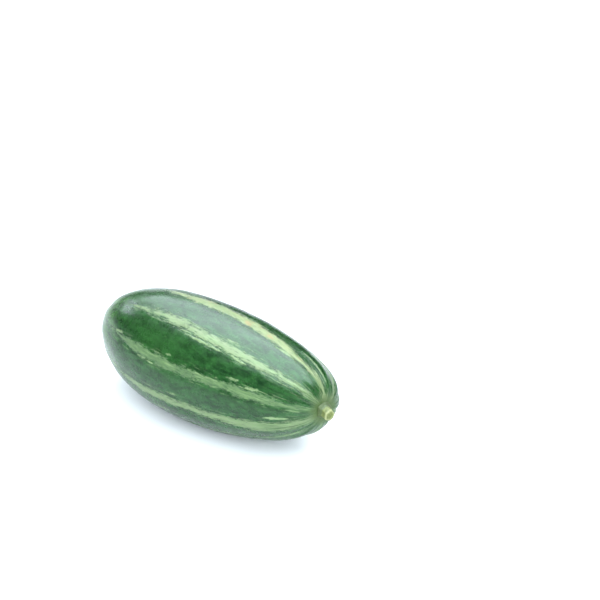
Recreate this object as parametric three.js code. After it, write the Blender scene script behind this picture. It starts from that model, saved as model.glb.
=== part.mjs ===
// Pointed gourd, a small striped fruit also called parwal, lying on its side as picked.
// It is two grown pieces: the fruit, and the short cut stub of the stem that carried it.
// Millimetres, +Z up. +X runs from the pointed blossom end to the blunt stem end.
// The origin is on the ground, below the middle of the part's bounding box.

import * as THREE from 'three';

// Fruit: a surface of revolution about X, described along its length by t = -1 (blossom) to 1 (stem)
const FRUIT_LENGTH = 98;
const BODY_RADIUS = 21.05;
const TAPER = 0.062;             // share of the radius lost between mid-length and the stem end
const BLOSSOM_POWER = 0.541;     // above 0.5 the end comes to a point
const STEM_POWER = 0.379;        // below 0.5 the end is blunt
const RING_COUNT = 44;
const RING_CROWDING = 1.6;       // 1 spaces the rings evenly in angle, more crowds them to the tips
const SECTOR_COUNT = 50;

// The growth habit that bends the straight shape
const BOW_SIDEWAYS = -0.89;
const BOW_DOWN = -1.16;
const SIDE_SWING = 1.71;         // S-shaped part of the bend
const STEM_SLANT = 0.205;        // how far the +Y shoulder of the stem end leads the -Y one

// Shallow lengthwise grooves, one under each pale stripe, deepest near the stem
const GROOVE_COUNT = 10;
const GROOVE_START = THREE.MathUtils.degToRad(80.7);
const GROOVE_DEPTH = 0.1;
const GROOVE_DEPTH_AT_STEM = 0.3;

// The two tips, and the flat on which the fruit rests
const SEAT_DEPTH = 0.7;
const SEAT_RADIUS = 3.6;
const BLOSSOM_NUB_HEIGHT = 0.5;
const BLOSSOM_NUB_RADIUS = 1.5;
const REST_FLAT_DEPTH = 0.8;

// Stem stub
const STUB_LENGTH = 3.1;
const STUB_RADIUS = 2.05;
const STUB_FLARE = 0.25;
const STUB_RIM_ROUNDING = 0.35;
const STUB_CUT_HOLLOW = 0.25;
const STUB_LEAN = new THREE.Vector3(0, -0.05, -0.2);   // sideways travel for each mm of height
const STUB_LOBES = 5;
const STUB_LOBE_HEIGHT = 0.1;
const STUB_SECTORS = 30;
const STUB_GAP = 0.4;            // clear of the seat all over, since the two are separate solids

const skin = new THREE.MeshStandardMaterial({ color: 0x2f5f33, roughness: 0.4, metalness: 0 });
const pith = new THREE.MeshStandardMaterial({ color: 0xa9bd80, roughness: 0.65, metalness: 0 });

// Radius of the plain body at t, with an end power that blends from one tip to the other
function bodyRadius(t) {
  const power = THREE.MathUtils.lerp(BLOSSOM_POWER, STEM_POWER, THREE.MathUtils.smoothstep(t, -1, 1));
  return BODY_RADIUS * (1 - TAPER * t) * Math.pow(Math.max(0, 1 - t * t), power);
}

// Lathe profile from the blossom tip to the stem tip, with the rings crowded at both
function fruitProfile() {
  const points = [];
  for (let i = 0; i <= RING_COUNT; i += 1) {
    const place = 2 * i / RING_COUNT - 1;
    const angle = Math.PI / 2 * (1 - Math.pow(1 - Math.abs(place), RING_CROWDING));
    const t = Math.sign(place) * Math.sin(angle);
    points.push(new THREE.Vector2(bodyRadius(t), t * FRUIT_LENGTH / 2));
  }
  points[0].x = 0;
  points[RING_COUNT].x = 0;
  return points;
}

// Moves one point of the straight body, given in place, to where the grown fruit has it
function grow(point) {
  const t = 2 * point.x / FRUIT_LENGTH;
  const radius = Math.hypot(point.y, point.z);
  const angle = Math.atan2(point.z, point.y);
  const fullness = 1 - t * t;
  const nearStem = (1 + t) / 2;

  const depth = THREE.MathUtils.lerp(GROOVE_DEPTH, GROOVE_DEPTH_AT_STEM, Math.pow(nearStem, 4));
  const edgeFade = THREE.MathUtils.smoothstep(radius, 0, BODY_RADIUS / 2);
  const groove = depth * edgeFade * Math.cos(GROOVE_COUNT * (angle - GROOVE_START));
  const y = (radius - groove) * Math.cos(angle);
  const z = (radius - groove) * Math.sin(angle);

  point.x += STEM_SLANT * Math.pow(nearStem, 4) * y;
  if (t > 0) {
    point.x -= SEAT_DEPTH * Math.exp(-Math.pow(radius / SEAT_RADIUS, 2));
  } else {
    point.x -= BLOSSOM_NUB_HEIGHT * Math.exp(-Math.pow(radius / BLOSSOM_NUB_RADIUS, 2));
  }
  point.y = y + (BOW_SIDEWAYS + SIDE_SWING * t) * fullness;
  point.z = z + BOW_DOWN * fullness;
}

// Runs a function that moves points over every vertex of a geometry
function reshape(geometry, move) {
  const position = geometry.attributes.position;
  const point = new THREE.Vector3();
  for (let i = 0; i < position.count; i += 1) {
    point.fromBufferAttribute(position, i);
    move(point);
    position.setXYZ(i, point.x, point.y, point.z);
  }
  geometry.computeVertexNormals();
  geometry.computeBoundingBox();
}

function makeFruit() {
  const geometry = new THREE.LatheGeometry(fruitProfile(), SECTOR_COUNT);
  geometry.rotateZ(-Math.PI / 2);
  reshape(geometry, grow);
  const floor = geometry.boundingBox.min.z + REST_FLAT_DEPTH;
  reshape(geometry, (point) => {
    point.z = Math.max(point.z, floor);
  });
  const mesh = new THREE.Mesh(geometry, skin);
  mesh.name = 'fruit';
  return mesh;
}

// Profile of the stub: a domed base, a flare, a slight waist, a rounded rim and a hollow cut face
function stubProfile() {
  const rim = STUB_RADIUS - STUB_RIM_ROUNDING;
  return [
    new THREE.Vector2(0, 0),
    new THREE.Vector2(STUB_RADIUS * 0.6, 0.05),
    new THREE.Vector2(STUB_RADIUS + STUB_FLARE * 0.6, 0.25),
    new THREE.Vector2(STUB_RADIUS + STUB_FLARE, 0.6),
    new THREE.Vector2(STUB_RADIUS, 1.4),
    new THREE.Vector2(STUB_RADIUS * 0.97, STUB_LENGTH - 2 * STUB_RIM_ROUNDING),
    new THREE.Vector2(STUB_RADIUS * 0.95, STUB_LENGTH - STUB_RIM_ROUNDING),
    new THREE.Vector2(rim, STUB_LENGTH),
    new THREE.Vector2(rim * 0.5, STUB_LENGTH - STUB_CUT_HOLLOW),
    new THREE.Vector2(0, STUB_LENGTH - STUB_CUT_HOLLOW),
  ];
}

function makeStemStub() {
  const geometry = new THREE.LatheGeometry(stubProfile(), STUB_SECTORS);
  geometry.rotateZ(-Math.PI / 2);
  reshape(geometry, (point) => {
    const angle = Math.atan2(point.z, point.y);
    const swell = 1 + STUB_LOBE_HEIGHT / STUB_RADIUS * Math.cos(STUB_LOBES * angle);
    point.y = point.y * swell + STUB_LEAN.y * point.x;
    point.z = point.z * swell + STUB_LEAN.z * point.x;
  });
  const mesh = new THREE.Mesh(geometry, pith);
  mesh.name = 'stem_stub';
  mesh.rotation.z = -Math.atan(STEM_SLANT);
  mesh.position.set(FRUIT_LENGTH / 2 - SEAT_DEPTH, 0, 0);
  mesh.translateX(STUB_GAP);
  return mesh;
}

const gourd = new THREE.Group();
gourd.add(makeFruit());
gourd.add(makeStemStub());

// Stand it on the ground with the origin below the middle of the bounding box
gourd.updateMatrixWorld(true);
const box = new THREE.Box3().setFromObject(gourd, true);
const middle = box.getCenter(new THREE.Vector3());
gourd.position.set(-middle.x, -middle.y, -box.min.z);
gourd.updateMatrixWorld(true);

export default gourd;
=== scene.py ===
# The looks of a pointed gourd (parwal) lying on a white floor: the fruit with its waxy striped rind,
# and the cut stub of its stem, each as a fine mesh that stands for the plain CAD solid.
import math

import bpy
import numpy as np
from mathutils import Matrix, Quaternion, Vector, noise


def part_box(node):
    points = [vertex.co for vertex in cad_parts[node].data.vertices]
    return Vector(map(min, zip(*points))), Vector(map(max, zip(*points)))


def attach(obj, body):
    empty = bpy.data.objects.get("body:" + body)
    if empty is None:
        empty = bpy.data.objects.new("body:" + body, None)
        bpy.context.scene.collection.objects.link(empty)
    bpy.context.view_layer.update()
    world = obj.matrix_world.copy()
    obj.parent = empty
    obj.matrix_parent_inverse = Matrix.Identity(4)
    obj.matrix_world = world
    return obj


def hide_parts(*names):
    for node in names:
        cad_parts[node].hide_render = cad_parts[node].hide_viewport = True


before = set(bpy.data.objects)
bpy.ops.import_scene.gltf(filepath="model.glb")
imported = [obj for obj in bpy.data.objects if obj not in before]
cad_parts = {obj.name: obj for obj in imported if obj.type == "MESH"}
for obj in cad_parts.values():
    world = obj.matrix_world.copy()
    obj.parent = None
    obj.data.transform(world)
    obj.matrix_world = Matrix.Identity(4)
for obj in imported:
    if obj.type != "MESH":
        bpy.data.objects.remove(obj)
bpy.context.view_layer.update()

MM = 0.001

# The fruit's construction, in millimetres, as the CAD has it. Its length runs from t = -1 at the
# blossom tip to t = 1 at the stem, and phi turns about it from +Y over the top.
FRUIT_LENGTH = 98.0
BODY_RADIUS = 21.05
TAPER = 0.062
BLOSSOM_POWER = 0.541
STEM_POWER = 0.379
BOW_SIDEWAYS = -0.89
BOW_DOWN = -1.16
SIDE_SWING = 1.71
STEM_SLANT = 0.205
GROOVE_COUNT = 10
GROOVE_START = math.radians(80.7)
GROOVE_DEPTH = 0.1
GROOVE_DEPTH_AT_STEM = 0.3
SEAT_DEPTH = 0.7
SEAT_RADIUS = 3.6
BLOSSOM_NUB_HEIGHT = 0.5
BLOSSOM_NUB_RADIUS = 1.5
REST_FLAT_DEPTH = 0.8
STRIPE_TWIST = 0.0953  # radians that the stripes turn from mid-length to either tip

# How far the fine shape stands off the plain one, in millimetres
DENT_HEIGHT = 0.22
RIPPLE_HEIGHT = 0.07
STRIPE_HEIGHT = 0.05
FOLD_HEIGHT = 0.16
FOLD_COUNT = 21  # round the puckered stem end

FRUIT_RINGS = 330
FRUIT_SECTORS = 220
RING_CROWDING = 1.25

# Pale stripes: angle about the fruit and half-width in mm, where along the fruit they start, how
# much they wander in mm, how wide they get near the stem, and how light they are.
STRIPES = (
    # angle, half-width, start, wander, stem half-width, tone
    (81, 2.1, -0.52, 0.4, 1.15, 0.95),
    (119, 1.5, -0.56, 0.5, 1.1, 0.66),
    (156, 1.35, -0.68, 0.5, 1.3, 0.35),
    (194, 1.45, -0.66, 0.6, 1.8, 0.62),
    (223, 0.55, 0.05, 0.5, 0.6, 0.45),
    (259, 1.4, -0.60, 0.6, 1.0, 0.6),
    (294, 1.2, -0.55, 0.7, 0.7, 0.5),
    (327, 1.5, -0.62, 0.6, 1.1, 0.7),
    (3, 1.1, -0.50, 0.7, 0.6, 0.6),
    (38, 1.3, -0.58, 0.6, 1.0, 0.75),
)

# Thin pale strands and flecks beside the stripes: angle and position at one end, then at the other,
# and half-width in mm.
STRANDS = (
    (125, 0.00, 126, 0.35, 0.40),
    (125, 0.40, 127, 0.55, 0.35),
    (112, 0.30, 111, 0.40, 0.30),
    (146, 0.45, 145, 0.55, 0.35),
    (149, 0.60, 147, 0.70, 0.45),
    (149, -0.05, 148, 0.00, 0.30),
    (151, 0.35, 151, 0.40, 0.25),
    (183, 0.00, 182, 0.10, 0.30),
    (180, 0.75, 179, 0.90, 0.50),
    (162, -0.30, 163, -0.10, 0.30),
    (152, -0.60, 151, -0.50, 0.35),
    (90, 0.60, 88, 0.75, 0.45),
    (222, 0.80, 219, 0.95, 0.30),
    (208, -0.20, 209, 0.05, 0.30),
    (250, 0.10, 251, 0.35, 0.35),
    (268, -0.35, 267, -0.10, 0.35),
    (336, -0.10, 337, 0.20, 0.40),
    (318, 0.30, 320, 0.50, 0.35),
    (12, 0.05, 13, 0.30, 0.35),
    (45, -0.15, 46, 0.15, 0.35),
    (53, 0.55, 52, 0.85, 0.35),
    (66, 0.70, 64, 0.95, 0.30),
)

# The stem stub, in millimetres
STUB_LENGTH = 3.1
STUB_RADIUS = 1.9
STUB_FLARE = 0.8
STUB_ROOT = 1.0  # how far it runs down into the seat, so that no gap shows
STUB_LEAN = (-0.05, -0.2)
STUB_LOBES = 5
STUB_LOBE_HEIGHT = 0.1
STUB_CORNER_ROUNDING = 4  # passes that soften the outline
STUB_RINGS = 90
STUB_SECTORS = 96
STUB_GAP = 0.4  # between the CAD solids

# The camera looks down at the stem end from the front right
CAMERA_AZIMUTH = 40.13
CAMERA_ELEVATION = 28.0
CAMERA_DISTANCE = 0.4755
FIELD_OF_VIEW = 24.0
AIM_RIGHT = 0.0295  # the aim passes this far to the right of the fruit's middle
AIM_ABOVE = 0.0201

FLOOR_HALF_WIDTH = 4.0

# Brightness of the lights, where a white card that is just not clipped is 1
DOME_RADIANCE = 1.3
FAR_STRIP_RADIANCE = 6.6
NEAR_STRIP_RADIANCE = 12.0
TOP_RADIANCE = 3.5
FILL_RADIANCE = 4.4
END_RADIANCE = 11.0
COOL_WHITE = (0.86, 1.0, 1.06)
DOME_WHITE = (0.96, 1.0, 1.03, 1)

# Places and sizes of the lights, in metres, with places taken from the fruit's middle
STRIP_CENTRE = (-0.4, 0.33, 0.6)
STRIP_LENGTH = 1.0  # of each of its two halves
STRIP_WIDTH = 0.76
END_CENTRE = (-0.03, -0.01, 0.01)
END_DISTANCE = 0.6
END_WIDTH = 0.15
END_HEIGHT = 0.085


def smoothstep(low, high, value):
    part = np.clip((value - low) / (high - low), 0, 1)
    return part * part * (3 - 2 * part)


def linear(red, green, blue):
    """A colour given as 0 to 255 display values, as the linear RGBA that shaders take."""
    parts = [v / 255 for v in (red, green, blue)]
    return [v / 12.92 if v < 0.04045 else ((v + 0.055) / 1.055) ** 2.4 for v in parts] + [1]


def body_radius(t):
    power = BLOSSOM_POWER + (STEM_POWER - BLOSSOM_POWER) * smoothstep(-1, 1, t)
    return BODY_RADIUS * (1 - TAPER * t) * np.maximum(0, 1 - t * t) ** power


def noise_values(points, scale, seed, octaves=3):
    """Smooth noise of about -1 to 1 at each point."""
    shift = Vector((seed * 7.3, seed * 3.1, seed * 5.7))
    values = [noise.fractal(Vector(p) * scale + shift, 1.0, 2.0, octaves) for p in points]
    return np.array(values)


def grown(t, phi, relief):
    """Points of the fruit's skin, in millimetres, at t and phi, pushed out by relief."""
    radius = body_radius(t)
    fullness = 1 - t * t
    near_stem = (1 + t) / 2
    depth = GROOVE_DEPTH + (GROOVE_DEPTH_AT_STEM - GROOVE_DEPTH) * near_stem**4
    edge_fade = smoothstep(0, BODY_RADIUS / 2, radius)
    groove = depth * edge_fade * np.cos(GROOVE_COUNT * (phi - GROOVE_START))
    pushed = radius - groove + relief
    y = pushed * np.cos(phi)
    z = pushed * np.sin(phi)
    seat = SEAT_DEPTH * np.exp(-((radius / SEAT_RADIUS) ** 2))
    nub = BLOSSOM_NUB_HEIGHT * np.exp(-((radius / BLOSSOM_NUB_RADIUS) ** 2))
    x = t * FRUIT_LENGTH / 2 + STEM_SLANT * near_stem**4 * y - np.where(t > 0, seat, nub)
    y = y + (BOW_SIDEWAYS + SIDE_SWING * t) * fullness
    z = z + BOW_DOWN * fullness
    return np.stack([x, y, z], -1)


def closed_grid(name, points, values):
    """A closed mesh from rings of points, the first and last ring being single tips. points is
    (rings, sectors, 3) in millimetres, and values holds attributes of the same shape."""
    rings, sectors = points.shape[:2]
    inner = rings - 2

    def flat(array):
        body = array[1:-1].reshape((inner * sectors,) + array.shape[2:])
        return np.concatenate([array[0, :1], body, array[-1, :1]])

    def index(ring, sector):
        if ring == 0:
            return 0
        if ring == rings - 1:
            return 1 + inner * sectors
        return 1 + (ring - 1) * sectors + sector % sectors

    faces = []
    corners = []
    for ring in range(rings - 1):
        for sector in range(sectors):
            a, b = index(ring, sector), index(ring, sector + 1)
            c, d = index(ring + 1, sector + 1), index(ring + 1, sector)
            low, high = sector, sector + 1
            if ring == 0:
                faces.append((a, c, d))
                corners += [(ring, (low + high) / 2), (ring + 1, high), (ring + 1, low)]
            elif ring == rings - 2:
                faces.append((a, b, d))
                corners += [(ring, low), (ring, high), (ring + 1, (low + high) / 2)]
            else:
                faces.append((a, b, c, d))
                corners += [(ring, low), (ring, high), (ring + 1, high), (ring + 1, low)]

    mesh = bpy.data.meshes.new(name)
    mesh.from_pydata((flat(points) * MM).tolist(), [], faces)
    mesh.polygons.foreach_set("use_smooth", [True] * len(faces))

    # A UV map for baked textures: length along one side, turns along the other
    steps = np.linalg.norm(np.diff(points, axis=0), axis=-1).mean(axis=1)
    along = np.concatenate([[0], np.cumsum(steps)])
    girth = np.linalg.norm(points - np.roll(points, 1, axis=1), axis=-1).sum(axis=1).max()
    span = max(along[-1], girth) * 1.02
    uv = mesh.uv_layers.new(name="OFBake")
    where = np.array(corners)
    u = along[where[:, 0].astype(int)] / span
    v = where[:, 1] / sectors * girth / span
    uv.data.foreach_set("uv", np.stack([u + 0.01, v + 0.01], -1).ravel())

    for key, array in values.items():
        kind = "FLOAT_VECTOR" if array.ndim == 3 else "FLOAT"
        field = "vector" if array.ndim == 3 else "value"
        made = mesh.attributes.new(key, kind, "POINT")
        made.data.foreach_set(field, flat(array).ravel().astype(np.float32))
    mesh.update()
    piece = bpy.data.objects.new(name, mesh)
    bpy.context.scene.collection.objects.link(piece)
    return piece


def turn_between(phi, angle):
    """The signed angle from angle to phi, from minus half a turn to half a turn."""
    return (phi - angle + math.pi) % (2 * math.pi) - math.pi


def stripe_fields(t, phi):
    """Signed distance in mm inside the nearest pale stripe, how light that stripe is, and the same
    distance for the thin strands."""
    radius = body_radius(t)
    turned = phi - STRIPE_TWIST * t
    inside = np.full(t.shape, -9.0)
    tone = np.zeros(t.shape)
    for number, (angle, half, start, wander, stem_half, light) in enumerate(STRIPES):
        drift = wander * np.sin(5.1 * t + 2.4 * number) * (1 - t * t)
        across = turn_between(turned, math.radians(angle)) * radius + drift
        width = half * smoothstep(start - 0.12, start + 0.45, t)
        width = width + (stem_half - half) * smoothstep(0.45, 0.85, t)
        width = width * smoothstep(0, 0.5 * BODY_RADIUS, radius) ** 0.5
        width = width - 2.5 * smoothstep(start + 0.05, start - 0.12, t)
        depth = width - np.abs(across)
        tone = np.where(depth > inside, light, tone)
        inside = np.maximum(inside, depth)
    strand = np.full(t.shape, -9.0)
    for angle_a, t_a, angle_b, t_b, half in STRANDS:
        part = (t - t_a) / (t_b - t_a)
        angle = np.radians(angle_a + (angle_b - angle_a) * np.clip(part, 0, 1))
        across = turn_between(turned, angle) * radius
        overrun = np.maximum(0, np.abs(part - 0.5) - 0.5) * (t_b - t_a) * FRUIT_LENGTH / 2
        swell = half * np.sqrt(np.clip(1 - (2 * part - 1) ** 2, 0.05, 1))
        strand = np.maximum(strand, swell - np.hypot(across, overrun))
    return inside, tone, strand


def make_fruit():
    place = np.linspace(-1, 1, FRUIT_RINGS)
    tip_angle = math.pi / 2 * (1 - (1 - np.abs(place)) ** RING_CROWDING)
    t_ring = np.sign(place) * np.sin(tip_angle)
    phi_sector = np.arange(FRUIT_SECTORS) * 2 * math.pi / FRUIT_SECTORS
    t, phi = np.meshgrid(t_ring, phi_sector, indexing="ij")
    radius = body_radius(t)

    plain = grown(t, phi, np.zeros(t.shape))
    flat_points = plain.reshape(-1, 3)
    dents = noise_values(flat_points, 0.055, 1, 2).reshape(t.shape)
    ripples = noise_values(flat_points * (0.35, 1, 1), 0.2, 2, 3).reshape(t.shape)
    fade = smoothstep(0.5, 6, radius)
    inside, tone, strand = stripe_fields(t, phi)
    swelling = smoothstep(-1.0, 1.0, inside) * STRIPE_HEIGHT
    pucker = smoothstep(0.86, 0.99, t) * smoothstep(1.5, 6, radius)
    folds = pucker * FOLD_HEIGHT * np.cos(FOLD_COUNT * phi + 1.3 * np.sin(3 * phi))
    relief = fade * (DENT_HEIGHT * dents + RIPPLE_HEIGHT * ripples + swelling) + folds
    points = grown(t, phi, relief)
    floor = plain[..., 2].min() + REST_FLAT_DEPTH
    points[..., 2] = np.maximum(points[..., 2], floor)

    # Put the fruit where the CAD has it: the plain shape's box lines up with the CAD fruit's box
    low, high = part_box("fruit")
    plain[..., 2] = np.maximum(plain[..., 2], floor)
    middle = (plain.reshape(-1, 3).min(0) + plain.reshape(-1, 3).max(0)) / 2
    offset = Vector((low + high) / 2) / MM - Vector(middle)
    offset.z = low.z / MM - floor
    points = points + np.array(offset)

    turned = phi - STRIPE_TWIST * t
    ring_length = np.linalg.norm(np.diff(plain, axis=0), axis=-1).mean(axis=1)
    travelled = np.concatenate([[0], np.cumsum(ring_length)])
    along = np.repeat(travelled[:, None], FRUIT_SECTORS, axis=1)
    grain = np.stack([along, BODY_RADIUS * np.cos(turned), BODY_RADIUS * np.sin(turned)], -1)
    values = {
        "stripe": inside,
        "tone": tone,
        "strand": strand,
        "along": t,
        "tip_radius": radius,
        "grain": grain,
    }
    return closed_grid("fruit_skin", points, values), offset


def make_stub(offset):
    """The cut stem: a lobed, slightly leaning stump with a raised rim round a hollow cut face."""
    outline = (
        (0.0, -STUB_ROOT),
        (STUB_RADIUS + STUB_FLARE, -STUB_ROOT),
        (STUB_RADIUS + STUB_FLARE, 0.1),
        (STUB_RADIUS + STUB_FLARE * 0.45, 0.55),
        (STUB_RADIUS, 1.2),
        (STUB_RADIUS * 0.97, 2.0),
        (STUB_RADIUS * 1.0, STUB_LENGTH - 0.45),
        (STUB_RADIUS * 0.95, STUB_LENGTH - 0.1),
        (STUB_RADIUS * 0.8, STUB_LENGTH),
        (STUB_RADIUS * 0.6, STUB_LENGTH - 0.18),
        (STUB_RADIUS * 0.3, STUB_LENGTH - 0.3),
        (0.0, STUB_LENGTH - 0.22),
    )
    corners = np.array(outline)
    reach = np.concatenate([[0], np.cumsum(np.linalg.norm(np.diff(corners, axis=0), axis=1))])
    at = np.linspace(0, reach[-1], STUB_RINGS)
    radius = np.interp(at, reach, corners[:, 0])
    height = np.interp(at, reach, corners[:, 1])
    for _ in range(STUB_CORNER_ROUNDING):
        radius[1:-1] = (radius[:-2] + 2 * radius[1:-1] + radius[2:]) / 4
        height[1:-1] = (height[:-2] + 2 * height[1:-1] + height[2:]) / 4
    sector = np.arange(STUB_SECTORS) * 2 * math.pi / STUB_SECTORS
    radius, angle = np.meshgrid(radius, sector, indexing="ij")
    height = np.repeat(height[:, None], STUB_SECTORS, axis=1)

    straight = np.stack([height, radius * np.cos(angle), radius * np.sin(angle)], -1)
    lumps = noise_values(straight.reshape(-1, 3), 0.55, 5, 3).reshape(radius.shape)
    fibres = noise_values(straight.reshape(-1, 3) * (0.25, 1, 1), 1.9, 6, 3).reshape(radius.shape)
    lobes = STUB_LOBE_HEIGHT * np.cos(STUB_LOBES * angle + 0.4)
    side = smoothstep(0, STUB_RADIUS * 0.7, radius)
    radius = radius * (1 + side * (lobes / STUB_RADIUS + 0.09 * lumps + 0.05 * fibres))
    top = smoothstep(STUB_LENGTH - 1.2, STUB_LENGTH, height)
    height = height + top * (0.22 * lumps + 0.12 * fibres)
    y = radius * np.cos(angle) + STUB_LEAN[0] * height
    z = radius * np.sin(angle) + STUB_LEAN[1] * height

    turn = -math.atan(STEM_SLANT)
    lifted = height + STUB_GAP
    x_out = lifted * math.cos(turn) - y * math.sin(turn)
    y_out = lifted * math.sin(turn) + y * math.cos(turn)
    seat = np.array([FRUIT_LENGTH / 2 - SEAT_DEPTH, 0, 0]) + np.array(offset)
    points = np.stack([x_out, y_out, z], -1) + seat
    values = {"height": height, "stub_radius": radius, "grain": straight}
    return closed_grid("stem_stub_cut", points, values)


class Shader:
    """A material's node tree, with short calls for the nodes that it is built from."""

    def __init__(self, name):
        self.material = bpy.data.materials.new(name)
        self.material.use_nodes = True
        self.tree = self.material.node_tree
        self.surface = next(n for n in self.tree.nodes if n.type == "BSDF_PRINCIPLED")

    def node(self, kind, **settings):
        made = self.tree.nodes.new(kind)
        for key, value in settings.items():
            setattr(made, key, value)
        return made

    def put(self, socket, value):
        if isinstance(value, bpy.types.NodeSocket):
            self.tree.links.new(value, socket)
        else:
            socket.default_value = value

    def attribute(self, name, field="Fac"):
        return self.node("ShaderNodeAttribute", attribute_name=name).outputs[field]

    def maths(self, operation, *values):
        made = self.node("ShaderNodeMath", operation=operation)
        for socket, value in zip(made.inputs, values):
            self.put(socket, value)
        return made.outputs[0]

    def stretch(self, vector, scale):
        made = self.node("ShaderNodeVectorMath", operation="MULTIPLY")
        self.put(made.inputs[0], vector)
        made.inputs[1].default_value = scale
        return made.outputs[0]

    def noise(self, vector, scale, detail=3.0, roughness=0.55, seed=0.0):
        made = self.node("ShaderNodeTexNoise", noise_dimensions="4D")
        self.put(made.inputs["Vector"], vector)
        made.inputs["W"].default_value = seed
        made.inputs["Scale"].default_value = scale
        made.inputs["Detail"].default_value = detail
        made.inputs["Roughness"].default_value = roughness
        return made.outputs["Fac"]

    def ramp(self, value, low, high, out_low=0.0, out_high=1.0):
        made = self.node("ShaderNodeMapRange", interpolation_type="SMOOTHSTEP")
        for socket, item in zip(made.inputs, (value, low, high, out_low, out_high)):
            self.put(socket, item)
        return made.outputs[0]

    def mix(self, amount, first, second):
        made = self.node("ShaderNodeMix", data_type="RGBA")
        self.put(made.inputs["Factor"], amount)
        colours = [s for s in made.inputs if s.type == "RGBA"]
        self.put(colours[0], first)
        self.put(colours[1], second)
        return next(s for s in made.outputs if s.type == "RGBA")

    def bump(self, height, distance, strength=1.0, normal=None):
        made = self.node("ShaderNodeBump")
        made.inputs["Strength"].default_value = strength
        made.inputs["Distance"].default_value = distance
        self.put(made.inputs["Height"], height)
        if normal is not None:
            self.put(made.inputs["Normal"], normal)
        return made.outputs[0]


def rind_material():
    s = Shader("waxy_rind")
    grain = s.attribute("grain", "Vector")
    place = s.node("ShaderNodeTexCoord").outputs["Object"]
    position = s.stretch(place, (1000, 1000, 1000))  # in millimetres
    streaks = s.stretch(grain, (0.24, 1, 1))
    long_streaks = s.stretch(grain, (0.09, 1, 1))

    # Ragged stripes: noise drawn out along the fruit moves their edges in and out
    edge_noise = s.noise(s.stretch(grain, (0.3, 1, 1)), 0.5, 5, 0.68, 1.0)
    fine_noise = s.noise(s.stretch(grain, (0.32, 1, 1)), 2.2, 5, 0.75, 2.0)
    inside = s.attribute("stripe")
    ragged = s.maths("MULTIPLY_ADD", s.maths("SUBTRACT", edge_noise, 0.5), 4.2, inside)
    ragged = s.maths("MULTIPLY_ADD", s.maths("SUBTRACT", fine_noise, 0.5), 5.0, ragged)
    stripe = s.ramp(ragged, -0.35, 0.75)
    gaps = s.ramp(s.noise(streaks, 1.3, 4, 0.7, 3.0), 0.52, 0.68)
    stripe = s.maths("MULTIPLY", stripe, s.maths("MULTIPLY_ADD", gaps, -0.7, 1.0))
    # Towards the stem each stripe parts into a few fine lines
    along = s.attribute("along")
    parting = s.ramp(s.noise(s.stretch(grain, (0.05, 1, 1)), 1.1, 3, 0.6, 13.0), 0.46, 0.58)
    parting = s.maths("MULTIPLY", parting, s.ramp(along, 0.6, 0.9, 0.0, -0.65))
    stripe = s.maths("MULTIPLY", stripe, s.maths("ADD", parting, 1.0))

    strand_edge = s.maths("SUBTRACT", fine_noise, 0.5)
    strand_edge = s.maths("MULTIPLY_ADD", strand_edge, 1.6, s.attribute("strand"))
    strand = s.ramp(strand_edge, -0.2, 0.25)
    lines = s.ramp(s.noise(long_streaks, 1.9, 3, 0.65, 4.0), 0.54, 0.66)
    beside = s.ramp(inside, -2.8, -0.2)
    beside = s.maths("MULTIPLY", s.maths("MULTIPLY", lines, beside), 0.7)
    strand = s.maths("MAXIMUM", strand, beside)

    flecks = s.ramp(s.noise(s.stretch(grain, (0.45, 1, 1)), 1.1, 4, 0.7, 5.0), 0.58, 0.75)
    mottle = s.noise(s.stretch(grain, (0.45, 1, 1)), 0.6, 4, 0.65, 6.0)
    cloud = s.noise(s.stretch(grain, (0.35, 1, 1)), 0.1, 3, 0.6, 7.0)

    green = s.mix(s.ramp(mottle, 0.3, 0.7), linear(12, 43, 18), linear(36, 80, 38))
    green = s.mix(s.ramp(cloud, 0.42, 0.7, 0.0, 0.4), green, linear(38, 80, 34))
    green = s.mix(s.maths("MULTIPLY", flecks, 0.4), green, linear(70, 116, 58))
    # The blossom end is a fresher, yellower green, which thins out in streaks along the fruit
    tip_green = s.mix(s.ramp(mottle, 0.35, 0.65), linear(32, 76, 24), linear(58, 108, 36))
    frayed = s.maths("MULTIPLY_ADD", s.maths("SUBTRACT", edge_noise, 0.5), 0.9, along)
    green = s.mix(s.ramp(frayed, -0.5, -0.95, 0.0, 0.85), green, tip_green)

    tone = s.attribute("tone")
    pale = s.mix(s.ramp(tone, 0.35, 1.0), linear(74, 102, 68), linear(139, 154, 114))
    streaky = s.ramp(s.noise(streaks, 1.0, 4, 0.7, 8.0), 0.38, 0.66)
    pale = s.mix(s.maths("MULTIPLY", streaky, 0.75), pale, linear(98, 128, 82))
    blush = s.ramp(s.noise(s.stretch(grain, (0.5, 1, 1)), 0.36, 3, 0.6, 9.0), 0.54, 0.66)
    blush = s.maths("MULTIPLY", blush, s.ramp(tone, 0.8, 1.0))
    pale = s.mix(s.maths("MULTIPLY", blush, 0.7), pale, linear(158, 134, 94))

    colour = s.mix(stripe, green, pale)
    colour = s.mix(s.maths("MULTIPLY", strand, 0.85), colour, linear(120, 146, 102))

    # The olive collar round the stem, and the brown scar where the flower fell
    tip = s.attribute("tip_radius")
    tip_noise = s.maths("MULTIPLY_ADD", s.maths("SUBTRACT", edge_noise, 0.5), 4.0, tip)
    collar = s.maths("MULTIPLY", s.ramp(tip_noise, 6.4, 3.2), s.ramp(along, 0.0, 0.1))
    colour = s.mix(s.maths("MULTIPLY", collar, 0.85), colour, linear(70, 92, 48))
    scar_edge = s.maths("MULTIPLY_ADD", s.maths("SUBTRACT", fine_noise, 0.5), 1.6, tip)
    scar = s.maths("MULTIPLY", s.ramp(scar_edge, 1.9, 1.1), s.ramp(along, 0.0, -0.1))
    colour = s.mix(scar, colour, linear(70, 76, 40))
    s.put(s.surface.inputs["Base Color"], colour)

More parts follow.
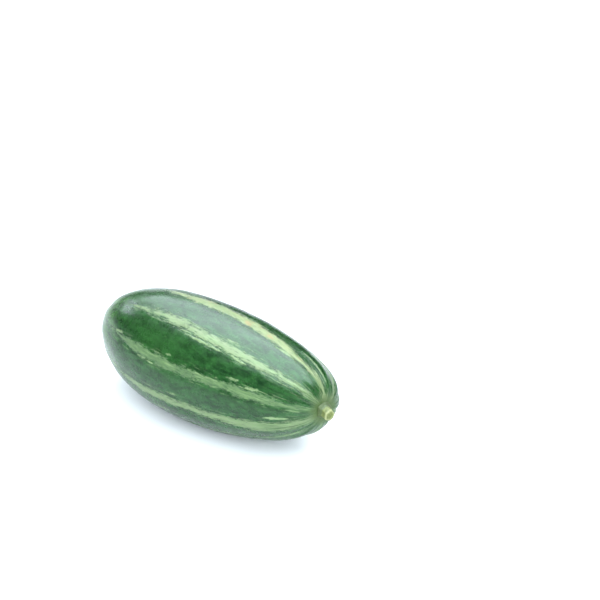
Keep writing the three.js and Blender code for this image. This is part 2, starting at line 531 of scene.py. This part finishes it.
    rough = s.ramp(s.noise(position, 0.5, 3, 0.6, 11.0), 0.3, 0.7, 0.24, 0.32)
    rough = s.maths("MULTIPLY_ADD", stripe, 0.08, rough)
    rough = s.maths("MULTIPLY_ADD", collar, 0.25, rough)
    s.put(s.surface.inputs["Roughness"], rough)
    s.surface.inputs["IOR"].default_value = 1.46
    s.surface.inputs["Specular IOR Level"].default_value = 0.34
    s.surface.inputs["Subsurface Weight"].default_value = 0.06
    s.surface.inputs["Subsurface Radius"].default_value = (0.6, 1.0, 0.4)
    s.surface.inputs["Subsurface Scale"].default_value = 0.002

    fine = s.bump(s.noise(position, 1.1, 3, 0.6, 10.0), 0.00002, 0.3)
    drawn = s.bump(s.noise(streaks, 0.8, 2, 0.5, 12.0), 0.00005, 0.5, fine)
    raised = s.maths("ADD", s.maths("MAXIMUM", stripe, strand), scar)
    s.put(s.surface.inputs["Normal"], s.bump(raised, 0.0001, 0.6, drawn))
    return s.material


def stub_material():
    s = Shader("cut_stem_tissue")
    grain = s.attribute("grain", "Vector")
    height = s.attribute("height")
    radius = s.attribute("stub_radius")
    fibres = s.noise(s.stretch(grain, (0.22, 1, 1)), 2.4, 4, 0.6, 1.0)
    blotch = s.noise(grain, 0.8, 3, 0.6, 2.0)
    colour = s.mix(s.ramp(fibres, 0.35, 0.7), linear(80, 94, 44), linear(110, 124, 64))
    colour = s.mix(s.ramp(blotch, 0.5, 0.75, 0.0, 0.6), colour, linear(126, 134, 84))
    uneven_height = s.maths("MULTIPLY_ADD", s.maths("SUBTRACT", blotch, 0.5), 1.2, height)
    root = s.ramp(uneven_height, 1.5, 0.7)
    colour = s.mix(root, colour, linear(66, 84, 44))
    near_top = s.ramp(height, STUB_LENGTH - 0.7, STUB_LENGTH - 0.1)
    rim = s.maths("MULTIPLY", near_top, s.ramp(radius, 1.0, 1.7))
    colour = s.mix(s.maths("MULTIPLY", rim, 0.8), colour, linear(142, 150, 106))
    s.put(s.surface.inputs["Base Color"], colour)
    s.put(s.surface.inputs["Roughness"], s.ramp(blotch, 0.3, 0.7, 0.62, 0.78))
    s.surface.inputs["Subsurface Weight"].default_value = 0.15
    s.surface.inputs["Subsurface Radius"].default_value = (1.0, 1.0, 0.5)
    s.surface.inputs["Subsurface Scale"].default_value = 0.001
    s.put(s.surface.inputs["Normal"], s.bump(fibres, 0.00025, 0.7, s.bump(blotch, 0.0002, 0.5)))
    return s.material


def floor_material():
    s = Shader("white_floor")
    s.surface.inputs["Base Color"].default_value = linear(236, 243, 251)
    s.surface.inputs["Roughness"].default_value = 0.9
    s.surface.inputs["Specular IOR Level"].default_value = 0.2
    return s.material


def make_floor():
    w = FLOOR_HALF_WIDTH
    mesh = bpy.data.meshes.new("floor")
    mesh.from_pydata([(-w, -w, 0), (w, -w, 0), (w, w, 0), (-w, w, 0)], [], [(0, 1, 2, 3)])
    floor = bpy.data.objects.new("floor", mesh)
    floor.data.materials.append(floor_material())
    bpy.context.scene.collection.objects.link(floor)


def direction(azimuth, elevation):
    """The way from the object towards azimuth and elevation, where azimuth 0 is along -Y."""
    a, e = math.radians(azimuth), math.radians(elevation)
    return Vector((math.sin(a) * math.cos(e), -math.cos(a) * math.cos(e), math.sin(e)))


def area_light(name, place, turn, width, height, radiance, seen_in_gloss):
    """A rectangular softbox of a given brightness. It either shows in the gloss or lights the diffuse
    surfaces, so that the two can be balanced as a studio does with flags."""
    data = bpy.data.lights.new(name, "AREA")
    data.shape = "RECTANGLE"
    data.size = width
    data.size_y = height
    data.energy = radiance * width * height * math.pi
    light = bpy.data.objects.new(name, data)
    light.location = place
    light.rotation_mode = "QUATERNION"
    light.rotation_quaternion = turn
    light.visible_camera = False
    light.visible_glossy = seen_in_gloss
    light.visible_diffuse = not seen_in_gloss
    bpy.context.scene.collection.objects.link(light)
    return data


def make_lights(middle):
    world = bpy.data.worlds.new("studio")
    world.use_nodes = True
    background = next(n for n in world.node_tree.nodes if n.type == "BACKGROUND")
    background.inputs["Color"].default_value = DOME_WHITE
    background.inputs["Strength"].default_value = DOME_RADIANCE
    world.cycles_visibility.glossy = False
    bpy.context.scene.world = world

    # A long strip in two halves that hangs over and behind the fruit, and draws the broad sheen along
    # its top. The half towards the stem end is the brighter.
    along = Vector((0.89, -0.45, 0)).normalized()
    level = Quaternion((0, 0, 1), math.atan2(along.y, along.x))
    centre = middle + Vector(STRIP_CENTRE)
    for name, side, radiance in (
        ("far_strip", -STRIP_LENGTH / 2, FAR_STRIP_RADIANCE),
        ("near_strip", STRIP_LENGTH / 2, NEAR_STRIP_RADIANCE),
    ):
        place = centre + along * side
        strip = area_light(name, place, level, STRIP_LENGTH, STRIP_WIDTH, radiance, True)
        strip.color = COOL_WHITE

    # A small box low on the left, which shows as the bright patch near the blossom end
    way = direction(-99, 18)
    facing = way.to_track_quat("Z", "Y")
    place = middle + Vector(END_CENTRE) + way * END_DISTANCE
    end = area_light("end_softbox", place, facing, END_WIDTH, END_HEIGHT, END_RADIANCE, True)
    end.color = COOL_WHITE

    for name, way, side, radiance in (
        ("top_softbox", direction(-175, 66), 0.9, TOP_RADIANCE),
        ("fill_softbox", direction(46, 40), 1.0, FILL_RADIANCE),
    ):
        area_light(name, middle + way, way.to_track_quat("Z", "Y"), side, side, radiance, False)


def make_camera(middle):
    data = bpy.data.cameras.new("camera")
    data.sensor_fit = "AUTO"
    data.angle = math.radians(FIELD_OF_VIEW)
    data.clip_start = 0.01
    data.clip_end = 20
    camera = bpy.data.objects.new("camera", data)
    back = direction(CAMERA_AZIMUTH, CAMERA_ELEVATION)
    camera.rotation_mode = "QUATERNION"
    camera.rotation_quaternion = (-back).to_track_quat("-Z", "Y")
    right = camera.rotation_quaternion @ Vector((1, 0, 0))
    up = camera.rotation_quaternion @ Vector((0, 1, 0))
    camera.location = middle + right * AIM_RIGHT + up * AIM_ABOVE + back * CAMERA_DISTANCE
    bpy.context.scene.collection.objects.link(camera)
    bpy.context.scene.camera = camera


fruit, offset = make_fruit()
fruit.data.materials.append(rind_material())
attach(fruit, "root")
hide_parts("fruit")

stub = make_stub(offset)
stub.data.materials.append(stub_material())
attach(stub, "root")
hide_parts("stem_stub")

middle = Vector(offset) * MM
make_floor()
make_lights(middle)
make_camera(middle)

bpy.context.scene.view_settings.view_transform = "Standard"
